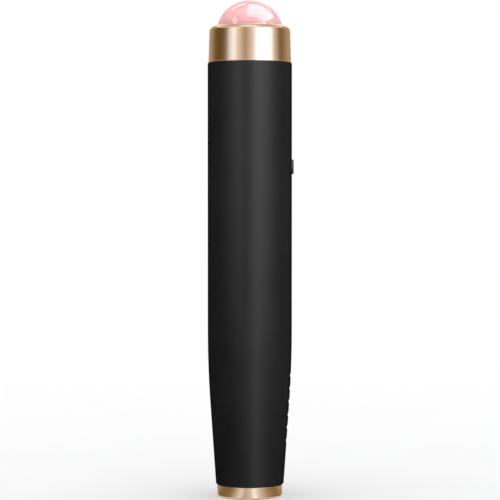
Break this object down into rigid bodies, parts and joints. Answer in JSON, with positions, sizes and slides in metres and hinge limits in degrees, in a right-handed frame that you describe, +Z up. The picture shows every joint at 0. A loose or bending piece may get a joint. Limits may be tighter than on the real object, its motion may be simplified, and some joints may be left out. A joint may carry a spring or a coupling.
{
  "type": "facial massage pen",
  "caption": "Upright massage pen: a captive rolling stone ball in a gold collar on a black barrel, with a side push button, a vibration motor, a battery and a screw-on gold end cap.",
  "frame": {"origin": "middle of the end cap's flat base, on the pen's axis", "axes": "+Z up along the pen towards the ball, +X towards the push button, seen from -Y in the picture"},
  "size_m": [0.023, 0.0226, 0.1331],
  "materials": {
    "soft_black": "soft-touch satin",
    "button_black": "satin",
    "gold_plate": "polished, pale champagne gold",
    "rose_stone": "polished",
    "white_acetal": "smooth",
    "grey_nylon": "moulded",
    "natural_nylon": "moulded",
    "cell_wrap": "printed film",
    "nickel": "nickel plated",
    "spring_steel": "drawn wire",
    "zinc_can": "zinc plated",
    "sintered_weight": "sintered",
    "contact_brass": "stamped",
    "black_rubber": "moulded",
    "board_green": "solder mask",
    "part_black": "moulded",
    "switch_grey": "moulded",
    "lead_red": "insulated wire",
    "lead_black": "insulated wire"
  },
  "bodies": {
    "pen": {"barrel": "soft_black", "ball_collar": "gold_plate", "socket_cup": "grey_nylon", "inner_frame": "grey_nylon", "battery_tube": "natural_nylon", "battery_cell": "cell_wrap", "positive_contact": "nickel", "ground_strip": "nickel", "circuit_board": "board_green", "board_screws": "nickel", "control_chip": "part_black", "chip_resistors": "part_black", "tact_switch": "switch_grey", "motor_can": "zinc_can", "motor_end_bell": "natural_nylon", "motor_terminals": "nickel", "motor_sleeve": "black_rubber", "positive_lead": "lead_red", "negative_lead": "lead_black"},
    "button": {"power_button": "button_black", "switch_plunger": "switch_grey"},
    "seat": {"ball_seat": "white_acetal"},
    "ball": {"roller_ball": "rose_stone"},
    "rotor": {"motor_shaft": "zinc_can", "eccentric_weight": "sintered_weight"},
    "cap_carriage": {"negative_spring": "spring_steel"},
    "cap": {"end_cap": "gold_plate", "cap_plug": "grey_nylon", "cap_seal": "black_rubber", "cap_liner": "contact_brass"}
  },
  "joints": [
    {"name": "button_press", "type": "slide", "parent": "pen", "child": "button", "axis": [-1, 0, 0], "range_m": [0, 0.0003], "stiffness_N_per_m": 800, "springref_m": -0.0005},
    {"name": "seat_swivel", "type": "hinge", "parent": "pen", "child": "seat", "pos_m": [0, 0, 0.1112], "axis": [0, 0, 1], "continuous": true},
    {"name": "ball_roll", "type": "hinge", "parent": "seat", "child": "ball", "pos_m": [0, 0, 0.1241], "axis": [1, 0, 0], "continuous": true},
    {"name": "motor_spin", "type": "hinge", "parent": "pen", "child": "rotor", "pos_m": [0, 0, 0.1016], "axis": [0, 0, 1], "continuous": true},
    {"name": "cap_withdraw", "type": "slide", "parent": "pen", "child": "cap_carriage", "axis": [0, 0, -1], "range_m": [0, 0.01]},
    {"name": "cap_unscrew", "type": "hinge", "parent": "cap_carriage", "child": "cap", "pos_m": [0, 0, 0], "axis": [0, 0, -1], "range_deg": [0, 1800]}
  ],
  "couplings": [
    {"joint": "cap_withdraw", "follows": "cap_unscrew", "m_per_rad": 0.00031831}
  ]
}
